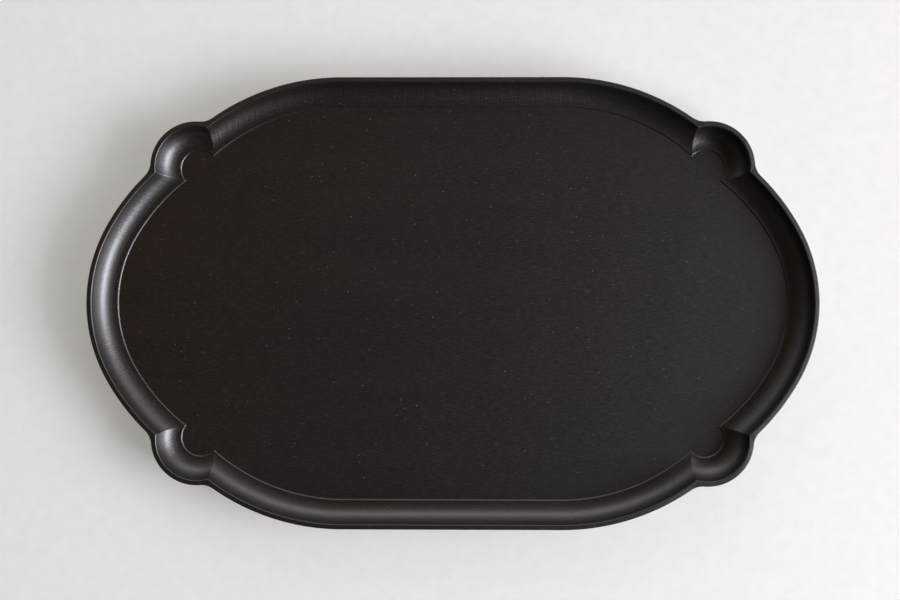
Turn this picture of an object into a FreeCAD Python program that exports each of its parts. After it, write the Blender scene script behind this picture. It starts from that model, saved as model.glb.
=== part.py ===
"""Carved wooden serving tray: one routed board on four anti-slip pads.

Frame: millimetres, +X along the tray, +Y towards its back, +Z up. The origin is the middle of the
plan on the surface that the tray stands on.

The plan is the union of three outlines. The side outline is a long slot, whose round ends have half
the width as their radius. The end outline is lower and reaches further: its round ends are two
haunch curves of that same radius and one tighter end curve between them. A round lobe covers each of
the four places where the two outlines cross. The recess is cut with the same three outlines, each
one moved in by the width of the rim, and each cut has a cove at its foot. So the coves meet in sharp
mitres at the lobes.
"""

import FreeCAD
import Part
import math
import os
import Sketcher
from FreeCAD import Vector

# Driving dimensions, in millimetres and degrees: alias, value, meaning.
DRIVING = [
    ("length", 360.0, "overall length along X"),
    ("width", 222.3, "overall width along Y"),
    ("height", 18.0, "rim above the surface it stands on"),
    ("end_reach", 14.6, "how far the end curve passes the round end of the side outline"),
    ("end_drop", 16.4, "how far the end outline's flank lies inside the straight side"),
    ("haunch_angle", 29.2, "angle from X at which the end curve becomes the haunch"),
    ("lobe_radius", 22.5, "outer radius of a corner lobe"),
    ("lobe_back_x", 10.3, "lobe centre behind the crossing of the outlines, along X"),
    ("lobe_back_y", 8.1, "lobe centre behind the crossing of the outlines, along Y"),
    ("neck_radius", 10.0, "hollow fillet where a lobe joins the outline"),
    ("rim_width", 2.65, "flat top of the rim"),
    ("rim_ease", 0.4, "rounding of the rim's outer edge"),
    ("recess_depth", 10.6, "rim down to the foot of the cove"),
    ("cove_radius", 10.0, "radius of the cove, the router bit's nose"),
    ("step_gap", 0.15, "flat left between the cove and the step line"),
    ("step_run", 0.6, "width of the sloping step round the floor"),
    ("step_depth", 0.5, "floor below the foot of the cove"),
    ("step_lip", 0.05, "upright lip at the top of the step"),
    ("base_round", 9.0, "finger round under the rim, up from the base"),
    ("pad_radius", 6.0, "radius of an anti-slip pad"),
    ("pad_thickness", 2.0, "thickness of a pad"),
    ("pad_stand", 1.0, "how far a pad stands out of the base"),
    ("pad_ease", 0.3, "rounding of a pad's lower edge"),
    ("pad_clearance", 0.15, "gap round a pad in its pocket"),
    ("over_cut", 2.0, "how far a cutter rises above the rim"),
]

# Sizes worked out from the driving ones: alias, formula.
DERIVED = [
    ("board_height", "height - pad_stand"),
    ("side_radius", "width / 2"),
    ("side_centre", "length / 2 - end_reach - side_radius"),
    ("haunch_shift", "end_drop / sin(haunch_angle)"),
    ("end_radius", "side_radius - haunch_shift"),
    ("end_centre", "length / 2 - end_radius"),
    ("haunch_centre", "end_centre - haunch_shift * cos(haunch_angle)"),
    ("centres_apart", "sqrt((haunch_centre - side_centre)^2 + end_drop^2)"),
    ("crossing_rise", "sqrt(side_radius^2 - centres_apart^2 / 4)"),
    ("crossing_x", "(side_centre + haunch_centre) / 2 + crossing_rise * end_drop / centres_apart"),
    ("crossing_y", "crossing_rise * (haunch_centre - side_centre) / centres_apart - end_drop / 2"),
    ("lobe_x", "crossing_x - lobe_back_x"),
    ("lobe_y", "crossing_y - lobe_back_y"),
    ("cove_foot", "rim_width + cove_radius"),
    ("floor_inset", "cove_foot + step_gap"),
    ("cove_level", "board_height - recess_depth"),
    ("floor_level", "cove_level - step_depth"),
    ("step_rise", "step_depth - step_lip"),
    ("pad_sunk", "pad_thickness - pad_stand"),
]

FEET = {
    "foot_pad_front_left": (-1, -1),
    "foot_pad_front_right": (1, -1),
    "foot_pad_back_left": (-1, 1),
    "foot_pad_back_right": (1, 1),
}

START, END, CENTRE = 1, 2, 3  # the points of a sketch line or arc
LEVEL_TOL = 1e-4  # mm, for edges at one height
VOLUME_TOL = 0.001  # share of a cut that may go astray


def make_sheet(doc):
    """Write every size into the spreadsheet and return it."""
    sheet = doc.addObject("Spreadsheet::Sheet", "Sizes")
    for row, (alias, value, meaning) in enumerate(DRIVING, start=1):
        sheet.set(f"A{row}", alias)
        sheet.set(f"B{row}", str(value))
        sheet.set(f"C{row}", meaning)
        sheet.setAlias(f"B{row}", alias)
    for row, (alias, formula) in enumerate(DERIVED, start=len(DRIVING) + 2):
        sheet.set(f"A{row}", alias)
        sheet.set(f"B{row}", "=" + formula)
        sheet.setAlias(f"B{row}", alias)
        doc.recompute()
    return sheet


def size(alias):
    """Read a size from the sheet as a plain number."""
    return float(FreeCAD.ActiveDocument.Sizes.get(alias))


def origin_plane(body, role):
    """Return the body's own XY, XZ or YZ plane."""
    return next(o for o in body.Origin.OriginFeatures if getattr(o, "Role", "") == role)


def new_body(doc, name):
    return doc.addObject("PartDesign::Body", name)


def new_sketch(body, name, role="XY_Plane"):
    """Add an empty sketch on one of the body's origin planes."""
    sketch = body.newObject("Sketcher::SketchObject", name)
    sketch.AttachmentSupport = [(origin_plane(body, role), "")]
    sketch.MapMode = "FlatFace"
    return sketch


def bind(sketch, kind, *where, to):
    """Add a dimension whose value is a formula on the sheet; where[-1] is its starting value."""
    index = sketch.addConstraint(Sketcher.Constraint(kind, *where))
    sketch.setExpression(f"Constraints[{index}]", to)


def join(sketch, kind, first, second):
    """Join the point of one edge to the point of another, coincident or tangent."""
    sketch.addConstraint(Sketcher.Constraint(kind, *first, *second))


def turn_arc(centre_x, centre_y, radius, start, end):
    """An arc from start to end, in degrees, anticlockwise."""
    circle = Part.Circle(Vector(centre_x, centre_y, 0), Vector(0, 0, 1), radius)
    return Part.ArcOfCircle(circle, math.radians(start), math.radians(end))


def side_outline(body, name, inset):
    """The long slot, moved in by inset, which names sizes such as '0' or 'Sizes.rim_width'."""
    sketch = new_sketch(body, name)
    gap = inset_value(inset)
    half, radius = size("side_centre"), size("side_radius") - gap
    right = sketch.addGeometry(turn_arc(half, 0, radius, -90, 90))
    top = sketch.addGeometry(Part.LineSegment(Vector(half, radius, 0), Vector(-half, radius, 0)))
    left = sketch.addGeometry(turn_arc(-half, 0, radius, 90, 270))
    foot = sketch.addGeometry(Part.LineSegment(Vector(-half, -radius, 0), Vector(half, -radius, 0)))
    ring = [right, top, left, foot]
    for one, other in zip(ring, ring[1:] + ring[:1]):
        join(sketch, "Tangent", (one, END), (other, START))
    for arc in (right, left):
        sketch.addConstraint(Sketcher.Constraint("PointOnObject", arc, CENTRE, -1))
    bind(sketch, "DistanceX", right, CENTRE, half, to="Sizes.side_centre")
    bind(sketch, "DistanceX", left, CENTRE, -half, to="-Sizes.side_centre")
    bind(sketch, "Radius", right, radius, to=f"Sizes.side_radius - {inset}")
    sketch.addConstraint(Sketcher.Constraint("Equal", right, left))
    return sketch


def end_outline(body, name, inset):
    """The lower, longer outline with the haunches and the end curves, moved in by inset."""
    sketch = new_sketch(body, name)
    gap = inset_value(inset)
    angle = size("haunch_angle")
    end_x, end_r = size("end_centre"), size("end_radius") - gap
    haunch_x, drop = size("haunch_centre"), size("end_drop")
    haunch_r = size("side_radius") - gap
    flank = haunch_r - drop

    right_end = sketch.addGeometry(turn_arc(end_x, 0, end_r, -angle, angle))
    back_right = sketch.addGeometry(turn_arc(haunch_x, -drop, haunch_r, angle, 90))
    back = sketch.addGeometry(Part.LineSegment(Vector(haunch_x, flank, 0), Vector(-haunch_x, flank, 0)))
    back_left = sketch.addGeometry(turn_arc(-haunch_x, -drop, haunch_r, 90, 180 - angle))
    left_end = sketch.addGeometry(turn_arc(-end_x, 0, end_r, 180 - angle, 180 + angle))
    front_left = sketch.addGeometry(turn_arc(-haunch_x, drop, haunch_r, 180 + angle, 270))
    front = sketch.addGeometry(Part.LineSegment(Vector(-haunch_x, -flank, 0), Vector(haunch_x, -flank, 0)))
    front_right = sketch.addGeometry(turn_arc(haunch_x, drop, haunch_r, 270, 360 - angle))
    ring = [right_end, back_right, back, back_left, left_end, front_left, front, front_right]
    for one, other in zip(ring, ring[1:] + ring[:1]):
        join(sketch, "Tangent", (one, END), (other, START))

    for arc, sign in ((right_end, 1), (left_end, -1)):
        sketch.addConstraint(Sketcher.Constraint("PointOnObject", arc, CENTRE, -1))
        bind(sketch, "DistanceX", arc, CENTRE, sign * end_x, to=f"{sign} * Sizes.end_centre")
        bind(sketch, "Radius", arc, end_r, to=f"Sizes.end_radius - {inset}")
    height = end_r * math.sin(math.radians(angle))
    for arc, point, sign in (
        (right_end, END, 1), (left_end, START, 1), (left_end, END, -1), (right_end, START, -1)
    ):
        formula = f"{sign} * (Sizes.end_radius - {inset}) * sin(Sizes.haunch_angle)"
        bind(sketch, "DistanceY", arc, point, sign * height, to=formula)
    for arc in (back_right, back_left, front_left, front_right):
        bind(sketch, "Radius", arc, haunch_r, to=f"Sizes.side_radius - {inset}")
    return sketch


def inset_value(inset):
    """The number that an inset formula stands for."""
    return 0.0 if inset == "0" else size(inset.removeprefix("Sizes."))


def pad(body, sketch, name, length, start="0"):
    """Extrude a sketch upwards from the level start by length; both are formulas."""
    sketch.setExpression("AttachmentOffset.Base.z", start)
    feature = body.newObject("PartDesign::Pad", name)
    feature.Profile = sketch
    feature.setExpression("Length", length)
    FreeCAD.ActiveDocument.recompute()
    return feature


def edge_names(shape, wanted):
    """Names of the edges for which wanted(edge) is true."""
    return [f"Edge{i}" for i, edge in enumerate(shape.Edges, start=1) if wanted(edge)]


def at_level(level):
    """A test for edges that lie flat at one height."""
    return lambda e: abs(e.BoundBox.ZMin - level) < LEVEL_TOL and abs(e.BoundBox.ZMax - level) < LEVEL_TOL


def is_upright(edge):
    return edge.BoundBox.DiagonalLength - edge.BoundBox.ZLength < LEVEL_TOL


def round_edges(body, name, base, edges, radius):
    """Fillet the named edges of a feature with a radius from the sheet."""
    feature = body.newObject("PartDesign::Fillet", name)
    feature.Base = (base, edges)
    feature.setExpression("Radius", radius)
    FreeCAD.ActiveDocument.recompute()
    return feature


def mirror_to_corners(body, feature, name):
    """Repeat a feature of the back right corner at the other three corners."""
    mirrors = []
    for role, suffix in (("YZ_Plane", "Left"), ("XZ_Plane", "Front")):
        mirror = body.newObject("PartDesign::Mirrored", name + suffix)
        mirror.MirrorPlane = (origin_plane(body, role), [""])
        mirrors.append(mirror)
    multi = body.newObject("PartDesign::MultiTransform", name)
    multi.Originals = [feature]
    multi.Transformations = mirrors
    body.Tip = multi
    FreeCAD.ActiveDocument.recompute()
    return multi


def make_blank(doc):
    """The board sawn to its outline, with the lobes and the finger round, before the recess."""
    body = new_body(doc, "Blank")
    pad(body, side_outline(body, "SideOutline", "0"), "SideSlab", "Sizes.board_height")
    pad(body, end_outline(body, "EndOutline", "0"), "EndSlab", "Sizes.board_height")

    circle = new_sketch(body, "LobeOutline")
    place = Vector(size("lobe_x"), size("lobe_y"), 0)
    edge = circle.addGeometry(Part.Circle(place, Vector(0, 0, 1), size("lobe_radius")))
    bind(circle, "DistanceX", edge, CENTRE, place.x, to="Sizes.lobe_x")
    bind(circle, "DistanceY", edge, CENTRE, place.y, to="Sizes.lobe_y")
    bind(circle, "Radius", edge, size("lobe_radius"), to="Sizes.lobe_radius")
    lobe = pad(body, circle, "Lobe", "Sizes.board_height")
    lobes = mirror_to_corners(body, lobe, "Lobes")

    necks = round_edges(body, "Necks", lobes, edge_names(lobes.Shape, is_neck), "Sizes.neck_radius")
    top = edge_names(necks.Shape, at_level(size("board_height")))
    eased = round_edges(body, "RimEase", necks, top, "Sizes.rim_ease")
    base = edge_names(eased.Shape, at_level(0))
    round_edges(body, "BaseRound", eased, base, "Sizes.base_round")
    return body


def is_neck(edge):
    """True for the upright edges where a lobe's circle leaves the outline."""
    if not is_upright(edge):
        return False
    point = edge.Vertexes[0].Point
    reach = math.hypot(abs(point.x) - size("lobe_x"), abs(point.y) - size("lobe_y"))
    return abs(reach - size("lobe_radius")) < LEVEL_TOL


def make_cutter(doc, name, outline):
    """The space that one pass clears: the wall with the cove at its foot, then the sunk floor."""
    body = new_body(doc, name)
    wall = pad(
        body, outline(body, name + "WallOutline", "Sizes.rim_width"), name + "Wall",
        "Sizes.recess_depth + Sizes.over_cut", start="Sizes.cove_level",
    )
    foot = edge_names(wall.Shape, at_level(size("cove_level")))
    round_edges(body, name + "Cove", wall, foot, "Sizes.cove_radius")
    floor = pad(
        body, outline(body, name + "FloorOutline", "Sizes.floor_inset"), name + "Floor",
        "Sizes.step_depth + Sizes.over_cut", start="Sizes.floor_level",
    )
    slope = body.newObject("PartDesign::Chamfer", name + "Step")
    slope.Base = (floor, edge_names(floor.Shape, at_level(size("floor_level"))))
    slope.ChamferType = "Two distances"
    slope.setExpression("Size", "Sizes.step_rise")
    slope.setExpression("Size2", "Sizes.step_run")
    doc.recompute()
    return body


def make_lobe_cutter(doc, name, side_x, side_y):
    """The same section, turned about the middle of one lobe."""
    body = new_body(doc, name)
    sketch = new_sketch(body, name + "Section", "XZ_Plane")
    wall, foot = size("lobe_radius") - size("rim_width"), size("lobe_radius") - size("cove_foot")
    step = size("lobe_radius") - size("floor_inset")
    floor, cove, over = size("floor_level"), size("cove_level"), size("board_height") + size("over_cut")
    nose = cove + size("cove_radius")
    lip, flat = cove - size("step_lip"), step - size("step_run")

    before = [(0, over), (0, floor), (flat, floor), (step, lip), (step, cove), (foot, cove)]
    after = [(wall, nose), (wall, over), (0, over)]
    edges = [Part.LineSegment(Vector(*a, 0), Vector(*b, 0)) for a, b in zip(before, before[1:])]
    edges.append(turn_arc(foot, nose, size("cove_radius"), 270, 360))
    edges += [Part.LineSegment(Vector(*a, 0), Vector(*b, 0)) for a, b in zip(after, after[1:])]
    ring = [sketch.addGeometry(edge) for edge in edges]
    axis, bottom, slope, riser, shelf, nose_arc, side, top = ring
    for one, other in zip(ring, ring[1:] + ring[:1]):
        kind = "Tangent" if nose_arc in (one, other) else "Coincident"
        join(sketch, kind, (one, END), (other, START))
    for edge in (bottom, shelf, top):
        sketch.addConstraint(Sketcher.Constraint("Horizontal", edge))
    for edge in (axis, riser):
        sketch.addConstraint(Sketcher.Constraint("Vertical", edge))
    sketch.addConstraint(Sketcher.Constraint("PointOnObject", axis, START, -2))
    bind(sketch, "DistanceY", axis, END, floor, to="Sizes.floor_level")
    bind(sketch, "DistanceX", riser, START, step, to="Sizes.lobe_radius - Sizes.floor_inset")
    bind(sketch, "DistanceX", bottom, END, flat,
         to="Sizes.lobe_radius - Sizes.floor_inset - Sizes.step_run")
    bind(sketch, "DistanceY", riser, START, lip, to="Sizes.cove_level - Sizes.step_lip")
    bind(sketch, "DistanceY", shelf, START, cove, to="Sizes.cove_level")
    bind(sketch, "DistanceX", side, START, wall, to="Sizes.lobe_radius - Sizes.rim_width")
    bind(sketch, "Radius", nose_arc, size("cove_radius"), to="Sizes.cove_radius")
    bind(sketch, "DistanceY", top, END, over, to="Sizes.board_height + Sizes.over_cut")

    turned = body.newObject("PartDesign::Revolution", name + "Turned")
    turned.Profile = sketch
    turned.ReferenceAxis = (sketch, ["V_Axis"])
    turned.Angle = 360
    body.setExpression("Placement.Base.x", f"{side_x} * Sizes.lobe_x")
    body.setExpression("Placement.Base.y", f"{side_y} * Sizes.lobe_y")
    doc.recompute()
    return body


def make_pad_pocket(doc, name, side_x, side_y):
    """The shallow round pocket in the base that a pad is glued into."""
    pocket = doc.addObject("Part::Cylinder", name)
    pocket.setExpression("Radius", "Sizes.pad_radius + Sizes.pad_clearance")
    pocket.setExpression("Height", "Sizes.pad_sunk + Sizes.over_cut")
    pocket.setExpression("Placement.Base.x", f"{side_x} * Sizes.lobe_x")
    pocket.setExpression("Placement.Base.y", f"{side_y} * Sizes.lobe_y")
    pocket.setExpression("Placement.Base.z", "-Sizes.over_cut")
    doc.recompute()
    return pocket


def take_away(doc, base, tool):
    """Cut one tool out of the work, and stop if it took more or less than it covers."""
    cut = doc.addObject("Part::Cut", "After" + tool.Name)
    cut.Base = base
    cut.Tool = tool
    cut.Refine = True
    doc.recompute()
    taken = base.Shape.Volume - cut.Shape.Volume
    covered = base.Shape.common(tool.Shape).Volume
    if taken <= 0 or abs(taken - covered) > VOLUME_TOL * covered:
        raise RuntimeError(f"{tool.Name} took {taken:.1f} mm3, and should take {covered:.1f}")
    return cut


def make_tray_body(doc):
    """The blank, less the passes of the recess and the pad pockets."""
    tray = make_blank(doc)
    for name, outline in (("SideCut", side_outline), ("EndCut", end_outline)):
        tray = take_away(doc, tray, make_cutter(doc, name, outline))
    for number, (side_x, side_y) in enumerate(FEET.values(), start=1):
        tray = take_away(doc, tray, make_lobe_cutter(doc, f"LobeCut{number}", side_x, side_y))
        tray = take_away(doc, tray, make_pad_pocket(doc, f"PadPocket{number}", side_x, side_y))
    tray.Label = "tray_body"
    tray.setExpression("Placement.Base.z", "Sizes.pad_stand")
    doc.recompute()
    return tray


def make_foot_pad(doc, label, side_x, side_y):
    """A round pad under one lobe, its lower edge eased."""
    body = new_body(doc, label.title().replace("_", ""))
    circle = new_sketch(body, body.Name + "Outline")
    edge = circle.addGeometry(Part.Circle(Vector(0, 0, 0), Vector(0, 0, 1), size("pad_radius")))
    join(circle, "Coincident", (edge, CENTRE), (-1, START))
    bind(circle, "Radius", edge, size("pad_radius"), to="Sizes.pad_radius")
    disc = pad(body, circle, body.Name + "Disc", "Sizes.pad_thickness")
    rim = edge_names(disc.Shape, at_level(0))
    round_edges(body, body.Name + "Ease", disc, rim, "Sizes.pad_ease")
    body.Label = label
    body.setExpression("Placement.Base.x", f"{side_x} * Sizes.lobe_x")
    body.setExpression("Placement.Base.y", f"{side_y} * Sizes.lobe_y")
    doc.recompute()
    return body


def check(doc, parts):
    """Stop on any failed object, and on a sub-part whose shape is empty or broken."""
    for item in doc.Objects:
        if {"Invalid", "Error"} & set(item.State):
            raise RuntimeError(f"{item.Name} failed: {item.State}")
    for part in parts:
        if part.Shape.isNull() or not part.Shape.isValid() or len(part.Shape.Solids) != 1:
            raise RuntimeError(f"{part.Label} has no single sound solid")


def main():
    doc = FreeCAD.newDocument("ServingTray")
    make_sheet(doc)
    parts = [make_tray_body(doc)]
    parts += [make_foot_pad(doc, label, *sides) for label, sides in FEET.items()]
    doc.recompute()
    check(doc, parts)
    os.makedirs("parts", exist_ok=True)
    for part in parts:
        box = part.Shape.BoundBox
        part.Shape.exportStep(f"parts/{part.Label}.step")
        print(f"{part.Label}: {box.XLength:.2f} x {box.YLength:.2f} x {box.ZLength:.2f} mm,"
              f" {part.Shape.Volume / 1000:.2f} cm3")


main()
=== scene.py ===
# %% [markdown]
# # A carved wooden serving tray
#
# The real tray is one board. A router cuts its outline, then clears the recess in three
# passes with a round-nosed bit: once along the sides, once round the ends, and once in each
# corner lobe. Where the coves of two passes meet they leave a sharp mitre. This lesson builds
# that tray round a finished frame, gives it a stained and oiled finish, and lights it.

import math

import bmesh
import bpy
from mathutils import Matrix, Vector


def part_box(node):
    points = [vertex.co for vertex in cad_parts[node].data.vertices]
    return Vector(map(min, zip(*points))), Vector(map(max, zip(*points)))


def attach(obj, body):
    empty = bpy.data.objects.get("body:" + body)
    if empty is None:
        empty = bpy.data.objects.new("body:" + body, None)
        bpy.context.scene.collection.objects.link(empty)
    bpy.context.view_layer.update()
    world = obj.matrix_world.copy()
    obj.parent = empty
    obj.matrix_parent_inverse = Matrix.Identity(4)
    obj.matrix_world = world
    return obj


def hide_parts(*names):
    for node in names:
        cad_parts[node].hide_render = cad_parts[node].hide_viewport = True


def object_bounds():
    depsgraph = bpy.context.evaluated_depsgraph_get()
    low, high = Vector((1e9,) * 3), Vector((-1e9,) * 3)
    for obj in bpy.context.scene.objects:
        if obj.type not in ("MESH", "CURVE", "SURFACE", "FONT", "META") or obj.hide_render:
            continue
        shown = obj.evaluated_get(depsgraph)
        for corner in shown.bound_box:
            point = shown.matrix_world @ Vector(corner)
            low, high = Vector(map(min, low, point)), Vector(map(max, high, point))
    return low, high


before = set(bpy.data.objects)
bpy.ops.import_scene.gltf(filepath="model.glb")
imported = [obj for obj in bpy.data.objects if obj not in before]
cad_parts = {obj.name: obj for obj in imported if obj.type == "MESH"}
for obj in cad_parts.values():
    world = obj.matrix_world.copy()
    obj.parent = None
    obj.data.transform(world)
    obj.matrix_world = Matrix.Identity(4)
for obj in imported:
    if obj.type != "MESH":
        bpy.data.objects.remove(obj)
cad_low, cad_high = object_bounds()
print("frame:", sorted(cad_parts), "size", [round(v, 4) for v in cad_high - cad_low])

# %% [markdown]
# ## Sizes
#
# Lengths are easiest to read in millimetres, so they are written that way and turned into
# metres once. The overall length, width and height come from the frame. The rest are the
# sizes a maker would set on the router: the rim, the cove, the step and the finger round. The
# rim falls a little towards its outer edge, as hand sanding leaves it.

# %% Name the sizes
MM = 0.001
HALF_LENGTH = cad_high.x
HALF_WIDTH = cad_high.y
RIM_TOP = cad_high.z
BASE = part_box("tray_body")[0].z

LOBE_RADIUS = 22.5 * MM
NECK_RADIUS = 10 * MM
RIM_WIDTH = 2.65 * MM
OUTER_EASE = 0.4 * MM
RIM_FALL = 0.22 * MM
INNER_EASE = 0.6 * MM
COVE_RADIUS = 10 * MM
RECESS_DEPTH = 10.6 * MM
STEP_GAP = 0.15 * MM
STEP_RUN = 0.6 * MM
STEP_DEPTH = 0.5 * MM
BASE_ROUND = 9 * MM
END_REACH = 14.6 * MM
END_DROP = 16.4 * MM
HAUNCH_ANGLE = math.radians(29.2)

COVE_LEVEL = RIM_TOP - RECESS_DEPTH
FLOOR_LEVEL = COVE_LEVEL - STEP_DEPTH
COVE_FOOT = RIM_WIDTH + COVE_RADIUS
print(f"rim {RIM_TOP / MM:.1f} mm, floor {FLOOR_LEVEL / MM:.1f} mm, base {BASE / MM:.1f} mm")

# %% [markdown]
# ## The centres of the arcs
#
# The whole plan is drawn with a straight line and arcs. The side curve has half the width as
# its radius, the haunch has the same radius from a lower centre, and the end curve is tighter.
# A lobe stands on each corner, and its centre comes from the foot pad that lies under it.

# %% Work out the centres
SIDE_RADIUS = HALF_WIDTH
HAUNCH_SHIFT = END_DROP / math.sin(HAUNCH_ANGLE)
END_RADIUS = SIDE_RADIUS - HAUNCH_SHIFT

side_centre = Vector((HALF_LENGTH - END_REACH - SIDE_RADIUS, 0, 0))
end_centre = Vector((HALF_LENGTH - END_RADIUS, 0, 0))
haunch_way = Vector((math.cos(HAUNCH_ANGLE), math.sin(HAUNCH_ANGLE), 0))
haunch_centre = end_centre - HAUNCH_SHIFT * haunch_way
pad_low, pad_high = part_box("foot_pad_back_right")
lobe_centre = Vector(((pad_low.x + pad_high.x) / 2, (pad_low.y + pad_high.y) / 2, 0))
print("lobe centre", [round(v / MM, 2) for v in lobe_centre.xy])
print("end radius", round(END_RADIUS / MM, 2))

# %% [markdown]
# ## A pen and a compass
#
# A ring of the tray is drawn the way a draughtsman would do it. Extruding one vertex is the
# pen, and spinning it about a centre is the compass. Only a quarter is drawn, from the middle
# of the back to the middle of the right end, and a mirror makes the rest.

# %% Pen and compass helpers
def deselect_objects():
    """Leave nothing selected, so that an operator acts only on what comes next."""
    for thing in bpy.context.selected_objects:
        thing.select_set(False)


def start_pen(point):
    """Put down one vertex: a small plane merged into its middle."""
    bpy.ops.mesh.select_all(action="DESELECT")
    bpy.ops.mesh.primitive_plane_add(size=MM, location=point)
    bpy.ops.mesh.merge(type="CENTER")


def pen(step, strokes):
    """Draw a straight line as equal strokes."""
    for _ in range(strokes):
        bpy.ops.mesh.extrude_region_move(TRANSFORM_OT_translate={"value": step / strokes})


def compass(centre, level, start, end, steps):
    """Draw an arc about centre, from one direction to another, in radians."""
    bpy.ops.mesh.spin(
        steps=steps, angle=end - start, center=(centre.x, centre.y, level), axis=(0, 0, -1)
    )


def heading(one, other):
    """Direction from one point to another, in radians."""
    return math.atan2(other.y - one.y, other.x - one.x)


# %% [markdown]
# ## One ring
#
# Every ring is the same plan moved inwards by an inset. Between a lobe and its neighbours
# there is always a small fillet, which touches both arcs from outside. On the outer wall it is
# the hollow neck, and in the recess it is only the tiny rounding that sandpaper leaves on a
# mitre. So a ring keeps the same number of vertices at every inset, and rings can be joined
# one to the next with no odd faces.

# %% Draw one quarter ring
STEPS = {"straight": 10, "side": 26, "neck": 8, "lobe": 44, "haunch": 16, "end": 20}


def neck_centre(big_centre, big_radius, lobe_radius, neck, side):
    """Centre of the fillet that touches a big arc and the lobe from outside."""
    across = lobe_centre - big_centre
    far, near = big_radius + neck, lobe_radius + neck
    along = (across.length_squared + far**2 - near**2) / (2 * across.length)
    out = math.sqrt(far**2 - along**2)
    unit = across.normalized()
    return big_centre + along * unit + side * out * Vector((-unit.y, unit.x, 0))


def draw_ring(inset, level, neck):
    """Draw a quarter of the plan, moved in by inset, at one level."""
    side, lobe = SIDE_RADIUS - inset, LOBE_RADIUS - inset
    first = neck_centre(side_centre, side, lobe, neck, 1)
    second = neck_centre(haunch_centre, side, lobe, neck, -1)
    full = 2 * math.pi

    start_pen((0, side, level))
    pen(Vector((side_centre.x, 0, 0)), STEPS["straight"])
    compass(side_centre, level, math.pi / 2, heading(side_centre, first), STEPS["side"])
    turn = (heading(first, lobe_centre) - heading(first, side_centre)) % full
    compass(first, level, 0, turn, STEPS["neck"])
    turn = (heading(lobe_centre, first) - heading(lobe_centre, second)) % full
    compass(lobe_centre, level, 0, -turn, STEPS["lobe"])
    turn = (heading(second, haunch_centre) - heading(second, lobe_centre)) % full
    compass(second, level, 0, turn, STEPS["neck"])
    compass(haunch_centre, level, heading(haunch_centre, second), HAUNCH_ANGLE, STEPS["haunch"])
    compass(end_centre, level, HAUNCH_ANGLE, 0, STEPS["end"])


RING_COUNT = sum(STEPS.values()) + STEPS["neck"] + 1
print("vertices in a quarter ring:", RING_COUNT)


# %% [markdown]
# ## The section
#
# The section says how far in and how high each ring lies, from the base, up the finger round
# and the outer wall, over the eased rim, down the cove and over the small step to the floor.
# A ring close beside each rounding keeps the flats flat when the mesh is shaded smooth.

# %% Write the section
HOLD = 0.08 * MM
MITRE_EASE = 0.8 * MM
MITRE_TIP = 0.15 * MM
TURNS = {"finger_round": 14, "outer_ease": 5, "inner_ease": 7, "cove": 26, "step": 8}


def quarter_turns(steps):
    """Sine and cosine at equal turns from nothing to a right angle."""
    angles = [math.pi / 2 * i / steps for i in range(steps + 1)]
    return [(math.sin(angle), math.cos(angle)) for angle in angles]


def outer_rows():
    """Rings of the finger round, the wall and the outer half of the rim."""
    rows = [(BASE_ROUND + HOLD, BASE)]
    for s, c in quarter_turns(TURNS["finger_round"]):
        rows.append((BASE_ROUND * (1 - s), BASE + BASE_ROUND * (1 - c)))
    rows.append((0, BASE + BASE_ROUND + HOLD))
    crest = RIM_TOP - RIM_FALL
    rows.append((0, crest - OUTER_EASE - HOLD))
    for s, c in quarter_turns(TURNS["outer_ease"]):
        rows.append((OUTER_EASE * (1 - c), crest - OUTER_EASE * (1 - s)))
    rows.append((OUTER_EASE + HOLD, crest))
    return [(inset, level, NECK_RADIUS + inset) for inset, level in rows]


def cove_rows():
    """Rings of the inner half of the rim, then down the cove to its foot."""
    edge = RIM_WIDTH - INNER_EASE
    rows = [(edge - HOLD, RIM_TOP, MITRE_TIP), (edge, RIM_TOP, MITRE_TIP)]
    for s, c in quarter_turns(TURNS["inner_ease"])[1:]:
        ease = MITRE_TIP + (MITRE_EASE - MITRE_TIP) * s
        rows.append((edge + INNER_EASE * s, RIM_TOP - INNER_EASE * (1 - c), ease))
    nose = COVE_LEVEL + COVE_RADIUS
    for s, c in quarter_turns(TURNS["cove"])[1:]:
        ease = MITRE_EASE + (MITRE_TIP - MITRE_EASE) * s
        rows.append((COVE_FOOT - COVE_RADIUS * c, nose - COVE_RADIUS * s, ease))
    return rows


def step_rows():
    """Rings of the small step, worn to a soft S, and one more on the floor."""
    start = COVE_FOOT + STEP_GAP
    rows = []
    for i in range(TURNS["step"] + 1):
        u = i / TURNS["step"]
        fall = STEP_DEPTH * u * u * (3 - 2 * u)
        rows.append((start + STEP_RUN * u, COVE_LEVEL - fall, MITRE_TIP))
    rows.append((start + STEP_RUN + HOLD, FLOOR_LEVEL, MITRE_TIP))
    return rows


section = outer_rows() + cove_rows() + step_rows()
print("rings:", len(section))

# %% [markdown]
# ## Join the rings
#
# Each new ring is bridged to the last one. The quarter is then mirrored twice, and the two
# openings that are left, the floor and the base, are each closed with one flat face.

# %% Build the quarter shell
def select_rings(mesh, first, second):
    """Select the edges that run along two rings, told by the order in which they were drawn."""
    work = bmesh.from_edit_mesh(mesh)
    bpy.ops.mesh.select_mode(type="EDGE")
    bpy.ops.mesh.select_all(action="DESELECT")
    for edge in work.edges:
        rings = {vert.index // RING_COUNT for vert in edge.verts}
        if len(rings) == 1 and rings <= {first, second}:
            edge.select = True
    bmesh.update_edit_mesh(mesh)


def new_shell(name):
    """An object with an empty mesh, open for editing."""
    deselect_objects()
    bpy.ops.mesh.primitive_plane_add(size=MM)
    shell = bpy.context.object
    shell.name = shell.data.name = name
    bpy.ops.object.mode_set(mode="EDIT")
    bpy.ops.mesh.delete(type="VERT")
    return shell


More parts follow.
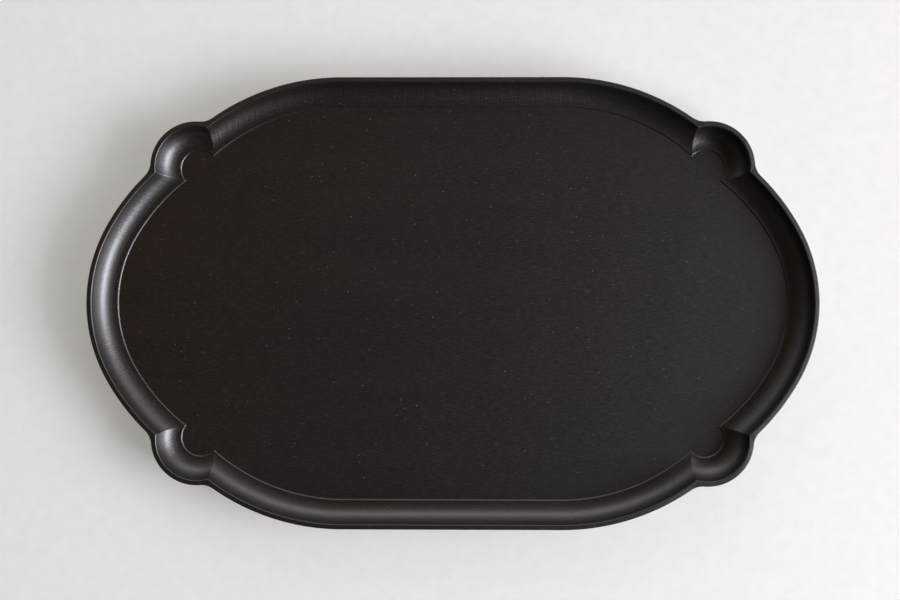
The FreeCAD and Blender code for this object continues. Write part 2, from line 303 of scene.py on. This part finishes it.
tray = new_shell("carved_tray")
for number, (inset, level, neck) in enumerate(section):
    bpy.ops.mesh.select_mode(type="VERT")
    draw_ring(inset, level, neck)
    bmesh.from_edit_mesh(tray.data).verts.index_update()
    if number:
        select_rings(tray.data, number - 1, number)
        bpy.ops.mesh.bridge_edge_loops()
bpy.ops.object.mode_set(mode="OBJECT")
print("quarter shell:", len(tray.data.vertices), "vertices,", len(tray.data.polygons), "faces")


# %% [markdown]
# ## How far the cutter has travelled
#
# A cutter leaves fine ridges across its path. To draw them later, each vertex keeps the distance
# along the rim at which its place in the ring lies. Spinning doesn't number the vertices in the
# order of the path, so each ring is walked from the Y axis on, edge by edge.

# %% Note the distances
def walk_ring(mesh, row, links):
    """Vertices of a ring in the order in which they follow each other, from the Y axis on."""
    members = range(row * RING_COUNT, (row + 1) * RING_COUNT)
    order = [min(members, key=lambda index: mesh.vertices[index].co.x)]
    while len(order) < RING_COUNT:
        order.append(next(index for index in links[order[-1]] if index not in order[-2:]))
    return order


def mark_travel(mesh, rim_row):
    """Keep on each vertex the distance along the rim of its place in the ring."""
    links = [[] for _ in mesh.vertices]
    for one, other in (edge.vertices for edge in mesh.edges):
        if one // RING_COUNT == other // RING_COUNT:
            links[one].append(other)
            links[other].append(one)
    orders = [walk_ring(mesh, row, links) for row in range(len(section))]

    travel = [0.0]
    rim = [mesh.vertices[index].co for index in orders[rim_row]]
    for one, other in zip(rim, rim[1:]):
        travel.append(travel[-1] + (other - one).length)
    layer = mesh.attributes.new("travel", "FLOAT", "POINT")
    for order in orders:
        for index, distance in zip(order, travel):
            layer.data[index].value = distance
    return travel[-1]


quarter_rim = mark_travel(tray.data, len(outer_rows()))
print("a quarter of the rim is", round(quarter_rim / MM, 1), "mm long")

# %% Mirror it and close the floor and the base
mirror = tray.modifiers.new("quarters", "MIRROR")
mirror.use_axis = (True, True, False)
mirror.use_clip = True
mirror.merge_threshold = HOLD / 10
bpy.ops.object.modifier_apply(modifier=mirror.name)

bpy.ops.object.mode_set(mode="EDIT")
bpy.ops.mesh.select_mode(type="EDGE")
bpy.ops.mesh.select_all(action="SELECT")
bpy.ops.mesh.fill_holes(sides=0)
bpy.ops.mesh.select_all(action="SELECT")
bpy.ops.mesh.normals_make_consistent(inside=False)
bpy.ops.object.mode_set(mode="OBJECT")
print("tray:", len(tray.data.vertices), "vertices,", len(tray.data.polygons), "faces")

# %% [markdown]
# ## Pockets for the pads
#
# The pads sit in shallow round pockets. A drill is modelled at each of the four places in turn
# and cut out of the base with a Boolean modifier, as the real pockets are bored last.

# %% Bore the pockets
PAD_CLEARANCE = 0.15 * MM
POCKET_SIDES = 72
FEET = [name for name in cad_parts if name.startswith("foot_pad")]
POCKET_TOP = pad_high.z


def bore_pocket(node):
    """Cut one pocket round a foot pad."""
    low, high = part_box(node)
    middle = (low + high) / 2
    deselect_objects()
    bpy.ops.mesh.primitive_cylinder_add(
        vertices=POCKET_SIDES, radius=(high.x - low.x) / 2 + PAD_CLEARANCE,
        depth=2 * POCKET_TOP, location=(middle.x, middle.y, 0),
    )
    drill = bpy.context.object
    bpy.context.view_layer.objects.active = tray
    cut = tray.modifiers.new("pocket", "BOOLEAN")
    cut.object, cut.operation, cut.solver = drill, "DIFFERENCE", "EXACT"
    bpy.ops.object.modifier_apply(modifier=cut.name)
    bpy.data.objects.remove(drill)


for name in FEET:
    bore_pocket(name)
print("pockets bored:", len(FEET), "faces now", len(tray.data.polygons))

# %% Shade it
SHARPEST_SMOOTH = math.radians(35)
deselect_objects()
tray.select_set(True)
bpy.context.view_layer.objects.active = tray
bpy.ops.object.shade_smooth_by_angle(angle=SHARPEST_SMOOTH)

# %% [markdown]
# ## Stained wood
#
# The finish is a brownish black stain under a satin lacquer, which reflects more than oil would.
# The grain runs along the tray, so the noise is stretched along X, and the fibres raise the
# surface a little. The pores are short dark dashes with paler ones between them, and a few pale
# flecks of dust lie in the lacquer. On the cove, the ridges left by the cutter cross its path.

# %% Node helpers
def node(tree, kind, **settings):
    """Add a node, then set its properties and the default values of its sockets."""
    made = tree.nodes.new(kind)
    for key, value in settings.items():
        if hasattr(made, key):
            setattr(made, key, value)
        else:
            made.inputs[key.replace("_", " ")].default_value = value
    return made


def new_material(name):
    """A material with only its shader and output, and the shader returned."""
    material = bpy.data.materials.new(name)
    material.use_nodes = True
    return material, material.node_tree, material.node_tree.nodes["Principled BSDF"]


def stretched(tree, scale):
    """Object coordinates with a scale for each axis, in turns per metre."""
    where = node(tree, "ShaderNodeTexCoord")
    mapping = node(tree, "ShaderNodeMapping")
    mapping.inputs["Scale"].default_value = scale
    tree.links.new(where.outputs["Object"], mapping.inputs["Vector"])
    return mapping.outputs["Vector"]


def noise(tree, scale, detail=3.0, roughness=0.5):
    """Noise on stretched object coordinates, from 0 to 1."""
    made = node(tree, "ShaderNodeTexNoise", Scale=1.0, Detail=detail, Roughness=roughness)
    tree.links.new(stretched(tree, scale), made.inputs["Vector"])
    return made.outputs["Fac"]


def remap(tree, value, low, high, to_low, to_high):
    """Turn one range of values into another, held at its ends."""
    made = node(tree, "ShaderNodeMapRange")
    for key, number in (
        ("From Min", low), ("From Max", high), ("To Min", to_low), ("To Max", to_high)
    ):
        made.inputs[key].default_value = number
    tree.links.new(value, made.inputs["Value"])
    return made.outputs["Result"]


def blend_colours(tree, factor, first, second):
    """Mix two colours, each a socket or an RGB triple."""
    made = node(tree, "ShaderNodeMix", data_type="RGBA")
    tree.links.new(factor, made.inputs["Factor"])
    for key, colour in (("A", first), ("B", second)):
        socket = next(s for s in made.inputs if s.name == key and s.type == "RGBA")
        if isinstance(colour, tuple):
            socket.default_value = (*colour, 1)
        else:
            tree.links.new(colour, socket)
    return next(s for s in made.outputs if s.type == "RGBA")


# %% Ridges left by the cutter
RIDGES_ALONG = 850  # per metre of travel
RIDGES_UP = 130  # per metre of height
RIDGE_HEIGHT = 0.12 * MM


def cutter_marks(tree):
    """Fine uneven ridges across the cove, as a turning cutter leaves them."""
    travel = node(tree, "ShaderNodeAttribute", attribute_name="travel")
    level = node(tree, "ShaderNodeSeparateXYZ")
    tree.links.new(node(tree, "ShaderNodeTexCoord").outputs["Object"], level.inputs[0])
    place = node(tree, "ShaderNodeCombineXYZ")
    tree.links.new(remap(tree, travel.outputs["Fac"], 0, 1, 0, RIDGES_ALONG), place.inputs["X"])
    tree.links.new(remap(tree, level.outputs["Z"], 0, 1, 0, RIDGES_UP), place.inputs["Y"])
    ridges = node(tree, "ShaderNodeTexNoise", Scale=1.0, Detail=3.0, Roughness=0.6)
    tree.links.new(place.outputs[0], ridges.inputs["Vector"])

    start, full = FLOOR_LEVEL + 0.2 * MM, COVE_LEVEL + 0.5 * MM
    on_cove = remap(tree, level.outputs["Z"], start, full, 0, 1)
    ridge = node(tree, "ShaderNodeMath", operation="MULTIPLY")
    tree.links.new(ridges.outputs["Fac"], ridge.inputs[0])
    tree.links.new(on_cove, ridge.inputs[1])
    return ridge.outputs[0]


# %% Mix the stain
STAIN_DARK = (0.0062, 0.0036, 0.0024)
STAIN_BROWN = (0.0088, 0.0052, 0.0036)
FIBRE_TONE = (0.0155, 0.0100, 0.0078)
PORE_TONE = (0.003, 0.0023, 0.002)
PALE_PORE_TONE = (0.040, 0.034, 0.030)
DUST_TONE = (0.25, 0.24, 0.23)
FIBRE_HEIGHT = 0.06 * MM
LACQUER_IOR = 1.85


def stained_wood():
    """Satin, brownish black stain over fine straight grain."""
    material, tree, shader = new_material("stained_wood")
    bands = noise(tree, (5, 90, 90), detail=2)
    fibres = noise(tree, (260, 1900, 1900), detail=4, roughness=0.7)
    pores = noise(tree, (320, 5200, 5200), detail=1)

    tone = blend_colours(tree, remap(tree, bands, 0.35, 0.65, 0, 1), STAIN_DARK, STAIN_BROWN)
    tone = blend_colours(tree, remap(tree, fibres, 0.45, 0.75, 0, 0.55), tone, FIBRE_TONE)
    tone = blend_colours(tree, remap(tree, pores, 0.62, 0.72, 0, 0.7), tone, PORE_TONE)
    tone = blend_colours(tree, remap(tree, pores, 0.36, 0.28, 0, 0.5), tone, PALE_PORE_TONE)

    flecks = node(tree, "ShaderNodeTexVoronoi", Scale=1.0)
    tree.links.new(stretched(tree, (260, 260, 260)), flecks.inputs["Vector"])
    dust = remap(tree, flecks.outputs["Distance"], 0.03, 0.05, 1, 0)
    tree.links.new(blend_colours(tree, dust, tone, DUST_TONE), shader.inputs["Base Color"])

    tree.links.new(remap(tree, fibres, 0.3, 0.7, 0.33, 0.41), shader.inputs["Roughness"])
    shader.inputs["IOR"].default_value = LACQUER_IOR

    bump = node(tree, "ShaderNodeBump", Strength=0.8, Distance=FIBRE_HEIGHT)
    tree.links.new(fibres, bump.inputs["Height"])
    marks = node(tree, "ShaderNodeBump", Strength=1.0, Distance=RIDGE_HEIGHT)
    tree.links.new(cutter_marks(tree), marks.inputs["Height"])
    tree.links.new(bump.outputs["Normal"], marks.inputs["Normal"])
    tree.links.new(marks.outputs["Normal"], shader.inputs["Normal"])
    return material


tray.data.materials.clear()
tray.data.materials.append(stained_wood())

# %% [markdown]
# ## Rubber pads
#
# The pads already have their true shape in the frame, so they only get a finish: dull black
# rubber with a fine moulded texture.

# %% Finish the pads
RUBBER_DARK = (0.018, 0.018, 0.019)
RUBBER_PALE = (0.030, 0.030, 0.031)
GRAIN_HEIGHT = 0.08 * MM


def pad_rubber():
    """Dull black rubber with a fine grain."""
    material, tree, shader = new_material("pad_rubber")
    grain = noise(tree, (2500, 2500, 2500), detail=2)
    speckle = remap(tree, grain, 0.3, 0.7, 0, 1)
    tone = blend_colours(tree, speckle, RUBBER_DARK, RUBBER_PALE)
    tree.links.new(tone, shader.inputs["Base Color"])
    tree.links.new(remap(tree, grain, 0.3, 0.7, 0.72, 0.88), shader.inputs["Roughness"])
    bump = node(tree, "ShaderNodeBump", Strength=0.4, Distance=GRAIN_HEIGHT)
    tree.links.new(grain, bump.inputs["Height"])
    tree.links.new(bump.outputs["Normal"], shader.inputs["Normal"])
    return material


rubber = pad_rubber()
for name in FEET:
    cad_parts[name].data.materials.clear()
    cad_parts[name].data.materials.append(rubber)

# %% Tie the tray to the frame
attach(tray, "root")
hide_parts("tray_body")

# %% [markdown]
# ## Surface, light and camera
#
# The tray lies on a pale matt surface, which glows a little to stand for the light that the
# rest of the room throws back. A window stands low on the right, with its sill and a wide
# curtain round it, so the shadow falls to the left and the cove there catches the light. A
# paler wall faces it from behind. The camera looks down from a little over half a metre.

# %% Lay the surface
SURFACE_SIZE = 6
PAPER_GREY = (0.58, 0.58, 0.58)
PAPER_PALE = (0.62, 0.62, 0.617)
PAPER_GLOW = (1, 0.965, 0.91, 1)

deselect_objects()
bpy.ops.mesh.primitive_plane_add(size=SURFACE_SIZE, location=(0, 0, 0))
surface = bpy.context.object
surface.name = surface.data.name = "surface"
paper, paper_tree, paper_shader = new_material("pale_surface")
mottle = noise(paper_tree, (140, 140, 140), detail=5, roughness=0.6)
mottle = remap(paper_tree, mottle, 0.3, 0.7, 0, 1)
paper_tone = blend_colours(paper_tree, mottle, PAPER_GREY, PAPER_PALE)
paper_tree.links.new(paper_tone, paper_shader.inputs["Base Color"])
paper_shader.inputs["Roughness"].default_value = 0.9
paper_shader.inputs["Emission Color"].default_value = PAPER_GLOW
paper_shader.inputs["Emission Strength"].default_value = 0.285
surface.data.materials.append(paper)


# %% Set up the lights
PANE = (0.865, 0.890, 1.0)
LIGHTS = {
    # distance, elevation, azimuth, width and height, power, colour
    "window": (2.0, 27, -16, (1.6, 0.8), 44, PANE),
    "sill": (2.0, 18, -18, (1.6, 0.5), 13, PANE),
    "curtain": (2.2, 32, -8, (2.6, 1.8), 21, (1.0, 0.92, 0.90)),
    "far_wall": (2.3, 27, 85, (1.9, 0.9), 7, (1.0, 0.93, 0.76)),
}


def add_window(name, distance, elevation, azimuth, size, power, colour):
    """A rectangular area light that faces the tray. Angles in degrees, azimuth 0 towards +X."""
    deselect_objects()
    elevation, azimuth = math.radians(elevation), math.radians(azimuth)
    out = Vector((
        math.cos(elevation) * math.cos(azimuth), math.cos(elevation) * math.sin(azimuth),
        math.sin(elevation),
    ))
    bpy.ops.object.light_add(type="AREA", location=out * distance)
    light = bpy.context.object
    light.name = name
    light.data.shape = "RECTANGLE"
    light.data.size, light.data.size_y = size
    light.data.energy, light.data.color = power, colour
    light.rotation_euler = out.to_track_quat("Z", "Y").to_euler()


for name, settings in LIGHTS.items():
    add_window(name, *settings)
print("lights:", sorted(LIGHTS))

# %% [markdown]
# ## The room
#
# The rest of the room is nearly dark. Its walls are brightest at the horizon, mostly behind the
# tray and on the window's side, and a warm glow crosses the ceiling. Nothing stands in front,
# so the cove at the back stays black. The picture keeps plain contrast, so black looks black.

# %% Light the room faintly
def combine(tree, operation, first, second):
    """A Math node on two sockets."""
    made = node(tree, "ShaderNodeMath", operation=operation)
    tree.links.new(first, made.inputs[0])
    tree.links.new(second, made.inputs[1])
    return made.outputs[0]


WALL_LIGHT = (0.97, 1, 1.07, 1)
CEILING_LIGHT = (1, 0.5, 0.2, 1)

world = bpy.data.worlds.new("room")
bpy.context.scene.world = world
world.use_nodes = True
room = world.node_tree
direction = node(room, "ShaderNodeSeparateXYZ")
room.links.new(node(room, "ShaderNodeTexCoord").outputs["Generated"], direction.inputs[0])
x, y, z = direction.outputs

behind = remap(room, y, 0, 1, 0, 1.12)
window_side = remap(room, x, 0, 1, 0, 0.62)
other_side = remap(room, x, 0, -1, 0, 0.12)
walls = combine(room, "ADD", behind, window_side)
walls = combine(room, "ADD", walls, other_side)
walls = combine(room, "MULTIPLY", walls, remap(room, z, 0, 1, 1, 0))
ceiling = combine(room, "ADD", remap(room, y, 0, 0.5, 0, 0.15), remap(room, x, 0, -0.5, 0, 0.12))
ceiling = combine(room, "MULTIPLY", ceiling, remap(room, z, 0.5, 1, 0, 1))

wall_light = room.nodes["Background"]
wall_light.inputs["Color"].default_value = WALL_LIGHT
room.links.new(walls, wall_light.inputs["Strength"])
ceiling_light = node(room, "ShaderNodeBackground", Color=CEILING_LIGHT)
room.links.new(ceiling, ceiling_light.inputs["Strength"])
both = node(room, "ShaderNodeAddShader")
room.links.new(wall_light.outputs[0], both.inputs[0])
room.links.new(ceiling_light.outputs[0], both.inputs[1])
room.links.new(both.outputs[0], room.nodes["World Output"].inputs["Surface"])
bpy.context.scene.view_settings.view_transform = "Standard"

# %% Place the camera
CAMERA_PLACE = Vector((0.0076, 0.0110, RIM_TOP + 0.650))
CAMERA_TURN = (-0.0139, 0.0130, 0.0010)
CAMERA_LENS = 53.03

deselect_objects()
bpy.ops.object.camera_add(location=CAMERA_PLACE, rotation=CAMERA_TURN)
camera = bpy.context.object
camera.data.lens = CAMERA_LENS
bpy.context.scene.camera = camera
